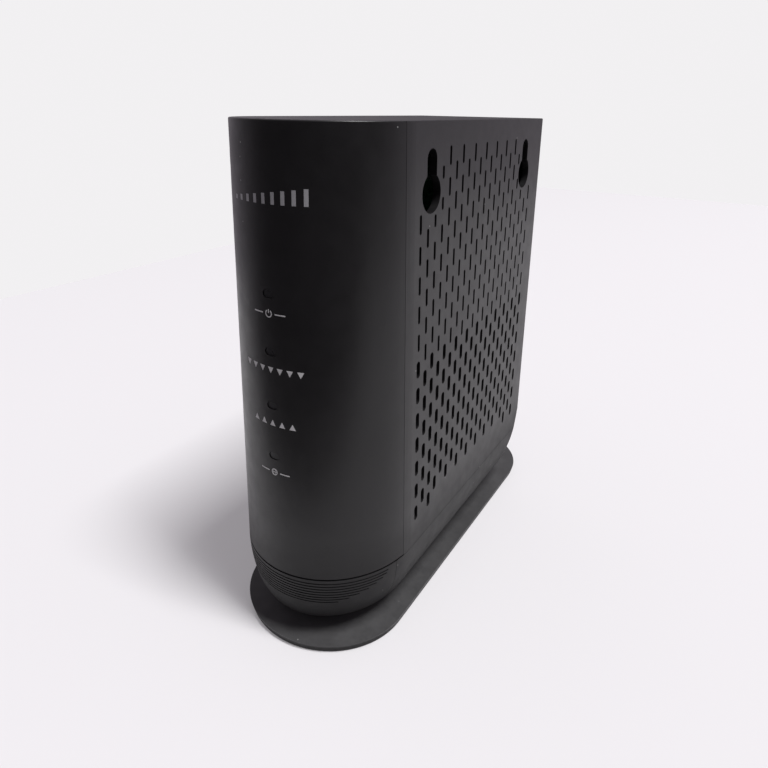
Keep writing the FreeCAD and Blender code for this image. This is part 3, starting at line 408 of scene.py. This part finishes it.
def soften(names, width):
    """Break the sharp edges of square-cut fittings."""
    for name in names:
        bevel = NODES[name].modifiers.new("edge", "BEVEL")
        bevel.width = width
        bevel.segments = 2
        bevel.limit_method = "ANGLE"
        bevel.angle_limit = math.radians(40)


# --------------------------------------------------------------------------
# printed marks: thin films laid on a surface


RAY_START = 0.3
FILM_LIFT = 0.03
STROKE_STEP = 0.4
ARC_STEP = 15
TRIANGLE_STEPS = 4
TRIANGLE_TIP = 0.04


class Film:
    """Flat shapes in millimetres, laid on a CAD node by casting rays at it along Y."""

    def __init__(self, node, facing):
        self.tree = BVHTree.FromObject(NODES[node], bpy.context.evaluated_depsgraph_get())
        self.facing = facing
        self.mesh = bmesh.new()

    def point(self, x, z, lift):
        start = Vector((x * MM, self.facing * RAY_START, z * MM))
        hit = self.tree.ray_cast(start, Vector((0, -self.facing, 0)))[0]
        return hit + Vector((0, self.facing * lift * MM, 0))

    def grid(self, rows, ring=False):
        """A closed film whose top is rows of (x, z) points; a ring's rows end where they start."""
        def lifted(lift):
            return [[self.mesh.verts.new(self.point(x, z, lift)) for x, z in row] for row in rows]

        top = lifted(FILM_LIFT)
        under = lifted(-FILM_LIFT)
        final = len(rows) - 1
        last = len(rows[0]) - 1
        for a in range(final):
            for b in range(last):
                c = a + 1
                d = b + 1
                self.mesh.faces.new((top[a][b], top[a][d], top[c][d], top[c][b]))
                self.mesh.faces.new((under[a][b], under[c][b], under[c][d], under[a][d]))
        rim = [(0, b) for b in range(last)]
        rim += [(a, last) for a in range(final)]
        rim += [(final, b) for b in range(last, 0, -1)]
        rim += [(a, 0) for a in range(final, 0, -1)]
        for k, (a, b) in enumerate(rim):
            c, d = rim[(k + 1) % len(rim)]
            if not (ring and b == d):
                self.mesh.faces.new((top[a][b], under[a][b], under[c][d], top[c][d]))

    def bar(self, x, z, width, height):
        """An upright or level bar about a centre."""
        across = max(1, round(width / STROKE_STEP))
        places = [x + width * (k / across - 0.5) for k in range(across + 1)]
        self.grid([[(place, z + height * level) for place in places] for level in (-0.5, 0.5)])

    def triangle(self, x, z, width, height, up):
        """A solid triangle about a centre, pointing up or down."""
        rows = []
        for k in range(TRIANGLE_STEPS + 1):
            share = k / TRIANGLE_STEPS
            half = width / 2 * (TRIANGLE_TIP + (1 - TRIANGLE_TIP) * share)
            level = z + height * (0.5 - share) * (1 if up else -1)
            rows.append([(x - half, level), (x, level), (x + half, level)])
        self.grid(rows)

    def arc(self, x, z, radius, width, start, end, squeeze=1.0):
        """A curved stroke from one angle to another, in degrees from +X."""
        steps = max(6, round(abs(end - start) / ARC_STEP))
        angles = [math.radians(start + (end - start) * k / steps) for k in range(steps + 1)]
        rows = [[(x + r * squeeze * math.cos(a), z + r * math.sin(a)) for a in angles]
                for r in (radius - width / 2, radius + width / 2)]
        self.grid(rows, abs(end - start) == 360)

    def finish(self, name, ink):
        bmesh.ops.remove_doubles(self.mesh, verts=self.mesh.verts, dist=1e-7)
        bmesh.ops.recalc_face_normals(self.mesh, faces=self.mesh.faces)
        data = bpy.data.meshes.new(name)
        self.mesh.to_mesh(data)
        self.mesh.free()
        data.materials.append(ink)
        return attach(add_object(name, data))


def attach(obj):
    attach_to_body(obj, BODY)
    return obj


def centre_of(node):
    low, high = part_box(node)
    return (low + high) / 2 / MM


# sizes in millimetres
LENS_HEIGHT = 1.8
LIGHTS = 4
LABEL_DROP = 4.9
STROKE = 0.30
THIN_STROKE = 0.24
FINE_STROKE = 0.21
SYMBOL_RADIUS = 0.90
DASH_AT = 3.4
DASH_LENGTH = 3.0
ARROW_WIDTH = 1.75
ARROW_HEIGHT = 1.6
DOWN_ARROWS = 7
DOWN_PITCH = 2.85
UP_ARROWS = 5
UP_PITCH = 3.05
BADGE_BARS = 9
BADGE_PITCH = 2.7
BADGE_SHIFT = -0.4
BADGE_BASE = 131.2
BADGE_WIDTH = 0.95
BADGE_FIRST = 1.0
BADGE_RISE = 0.35


def light_heights():
    """The heights of the light windows' centres, from the top down."""
    low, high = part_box("light_pipe")
    top = high.z / MM - LENS_HEIGHT / 2
    span = (high.z - low.z) / MM - LENS_HEIGHT
    return [top - span * k / (LIGHTS - 1) for k in range(LIGHTS)]


def add_dashes(film, z):
    """A level dash on each side of a symbol."""
    for side in (-1, 1):
        film.bar(side * DASH_AT, z, DASH_LENGTH, STROKE)


def add_arrows(film, z, count, pitch, up):
    """A level row of triangles about the centre line."""
    for k in range(count):
        film.triangle((k - (count - 1) / 2) * pitch, z, ARROW_WIDTH, ARROW_HEIGHT, up)


def make_front_marks():
    """Plain symbols under the four lights, and a row of rising bars near the top."""
    power, down, up, online = (z - LABEL_DROP for z in light_heights())
    film = Film("front_panel", -1)
    film.arc(0, power, SYMBOL_RADIUS, STROKE, 125, 415)
    film.bar(0, power + 0.62, STROKE, 0.95)
    add_dashes(film, power)
    add_arrows(film, down, DOWN_ARROWS, DOWN_PITCH, False)
    add_arrows(film, up, UP_ARROWS, UP_PITCH, True)
    film.arc(0, online, SYMBOL_RADIUS, THIN_STROKE, 0, 360)
    film.arc(0, online, SYMBOL_RADIUS, FINE_STROKE, 0, 360, 0.45)
    film.bar(0, online, 2 * SYMBOL_RADIUS - 0.1, FINE_STROKE)
    add_dashes(film, online)
    film.finish("light_symbols", INK)
    badge = Film("front_panel", -1)
    for k in range(BADGE_BARS):
        tall = BADGE_FIRST + BADGE_RISE * k
        x = (k - (BADGE_BARS - 1) / 2) * BADGE_PITCH + BADGE_SHIFT
        badge.bar(x, BADGE_BASE + tall / 2, BADGE_WIDTH, tall)
    badge.finish("rising_bars", MARK_INK)


MARK_COLUMN = 10.5
BOX_WIDTH = 1.8
BOX_HEIGHT = 1.2
BRANCH = 1.6
WIRE = 0.25
REAR_STROKE = 0.3


def add_network_symbol(film, x, z):
    """One box joined by lines to two boxes below it."""
    film.bar(x, z + 1.5, BOX_WIDTH, BOX_HEIGHT)
    for side in (-BRANCH, BRANCH):
        film.bar(x + side, z - 1.7, BOX_WIDTH, BOX_HEIGHT)
        film.bar(x + side, z - 0.7, WIRE, 0.8)
    film.bar(x, z - 0.2, 2 * BRANCH + WIRE, WIRE)
    film.bar(x, z + 0.4, WIRE, 1.0)


def add_power_symbol(film, x, z):
    """A level line over three dashes for direct current, and an open ring round a centre pin."""
    film.bar(x - 1.0, z + 0.5, 2.6, REAR_STROKE)
    for dash in (-2.0, -1.0, 0.0):
        film.bar(x + dash, z - 0.4, 0.6, REAR_STROKE)
    film.arc(x + 3.2, z, 1.2, REAR_STROKE, 30, 330)
    film.bar(x + 3.2, z, 0.5, 0.5)


def make_rear_marks():
    """Plain symbols beside the sockets."""
    film = Film("rear_panel", 1)
    x = MARK_COLUMN
    for node in ("ethernet_jack_1", "ethernet_jack_2"):
        add_network_symbol(film, x, centre_of(node).z)
    coax = centre_of("coax_nut").z
    film.arc(x, coax, 1.9, REAR_STROKE, 0, 360)
    film.arc(x, coax, 0.35, 0.5, 0, 360)
    add_power_symbol(film, x, centre_of("power_jack").z)
    reset = centre_of("reset_button").z
    film.arc(x, reset, 1.5, REAR_STROKE, 60, 360)
    film.triangle(x + 1.5, reset + 0.3, 1.1, 0.9, False)
    film.finish("port_symbols", INK)


# --------------------------------------------------------------------------
# rear fittings

# sizes in millimetres
THREAD_PITCH = 0.794
THREAD_DEPTH = 0.40
THREAD_RADIUS = 4.75
THREAD_FLANK = 2.6
THREAD_RUN_IN = 0.4
THREAD_RUN_OUT = 0.7
RINGS_PER_TURN = 10
BARREL_SIDES = 96
BARREL_BORE = 3.6
BORE_CHAMFER = 0.25
BLOCK_DEPTH = 8.0
BLOCK_BEVEL = 0.4


def closed_strip(mesh, rings):
    """Join rings of vertices into a closed skin, and the last ring to the first."""
    count = len(rings[0])
    for a, ring in enumerate(rings):
        after = rings[(a + 1) % len(rings)]
        for b in range(count):
            c = (b + 1) % count
            mesh.faces.new((ring[b], after[b], after[c], ring[c]))


def bevelled_block(mesh, middle, size, bevel):
    """Add a box with broken edges to a mesh, in metres."""
    verts = bmesh.ops.create_cube(mesh, size=1.0)["verts"]
    for vert in verts:
        vert.co = middle + Vector([c * s for c, s in zip(vert.co, size)])
    edges = list({edge for vert in verts for edge in vert.link_edges})
    bmesh.ops.bevel(mesh, geom=edges, offset=bevel, segments=2, affect="EDGES")


def clamp(value):
    return min(1.0, max(0.0, value))


def thread_radius(angle, y, start, tip):
    """The radius of the helix at an angle and a depth, with a run-in and a run-out."""
    phase = (y / THREAD_PITCH - angle / (2 * math.pi)) % 1.0
    crest = clamp(THREAD_FLANK * (0.5 - abs(phase - 0.5)))
    ends = clamp((tip - y - 0.1) / THREAD_RUN_OUT) * clamp((y - start) / THREAD_RUN_IN)
    return THREAD_RADIUS - THREAD_DEPTH + THREAD_DEPTH * crest * ends


def make_threaded_barrel():
    """The coaxial socket with a real 3/8-32 helix on its barrel and its mounting block."""
    low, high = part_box("coax_connector")
    centre = centre_of("coax_nut")
    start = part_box("coax_nut")[1].y / MM + 0.1
    tip = high.y / MM
    seat = low.y / MM + BLOCK_DEPTH
    mesh = bmesh.new()

    def ring(y, radius_at):
        verts = []
        for k in range(BARREL_SIDES):
            angle = 2 * math.pi * k / BARREL_SIDES
            radius = radius_at(angle)
            x = centre.x + radius * math.cos(angle)
            z = centre.z + radius * math.sin(angle)
            verts.append(mesh.verts.new((x * MM, y * MM, z * MM)))
        return verts

    steps = int((tip - start) / THREAD_PITCH * RINGS_PER_TURN)
    heights = [start + (tip - start) * k / steps for k in range(steps + 1)]
    rings = [ring(seat, lambda angle: THREAD_RADIUS - THREAD_DEPTH)]
    rings += [ring(y, lambda angle: thread_radius(angle, y, start, tip)) for y in heights]
    rings.append(ring(tip, lambda angle: BARREL_BORE + BORE_CHAMFER))
    rings.append(ring(tip - BORE_CHAMFER, lambda angle: BARREL_BORE))
    rings.append(ring(seat, lambda angle: BARREL_BORE))
    closed_strip(mesh, rings)
    size = Vector((high.x - low.x, BLOCK_DEPTH * MM, high.z - low.z))
    middle = Vector(((low.x + high.x) / 2, (seat - BLOCK_DEPTH / 2) * MM, centre.z * MM))
    bevelled_block(mesh, middle, size, BLOCK_BEVEL * MM)
    bmesh.ops.recalc_face_normals(mesh, faces=mesh.faces)
    data = bpy.data.meshes.new("threaded_barrel")
    mesh.to_mesh(data)
    mesh.free()
    data.materials.append(FINISHES["nickel"])
    data.shade_smooth()
    barrel = add_object("threaded_barrel", data)
    barrel.modifiers.new("edges", "EDGE_SPLIT").split_angle = math.radians(50)
    attach(barrel)
    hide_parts("coax_connector")


PORT_LIGHT_SIZE = (1.3, 0.3, 2.6)
PORT_LIGHT_BEVEL = 0.12
PORT_LIGHT_FROM_SIDE = 1.35
PORT_LIGHT_FROM_END = 2.2
PORT_LIGHT_SUNK = 0.06


def make_port_lights():
    """Two small light windows in each network socket's face."""
    size = Vector(PORT_LIGHT_SIZE) * MM
    for index in (1, 2):
        low, high = (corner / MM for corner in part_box(f"ethernet_jack_{index}"))
        mesh = bmesh.new()
        for z in (low.z + PORT_LIGHT_FROM_END, high.z - PORT_LIGHT_FROM_END):
            middle = Vector((high.x - PORT_LIGHT_FROM_SIDE, high.y - PORT_LIGHT_SUNK, z)) * MM
            bevelled_block(mesh, middle, size, PORT_LIGHT_BEVEL * MM)
        data = bpy.data.meshes.new(f"port_lights_{index}")
        mesh.to_mesh(data)
        mesh.free()
        data.materials.append(PORT_LIGHT)
        attach(add_object(f"port_lights_{index}", data))


# --------------------------------------------------------------------------

SOFTENED = ("coax_nut", "rear_panel", "ethernet_jack_1", "ethernet_jack_2", "power_jack",
            "rear_screws")

make_camera()
make_stage()
make_room()
make_key_light()
dress_nodes()
soften(SOFTENED, 0.15 * MM)
make_front_marks()
make_rear_marks()
make_threaded_barrel()
make_port_lights()
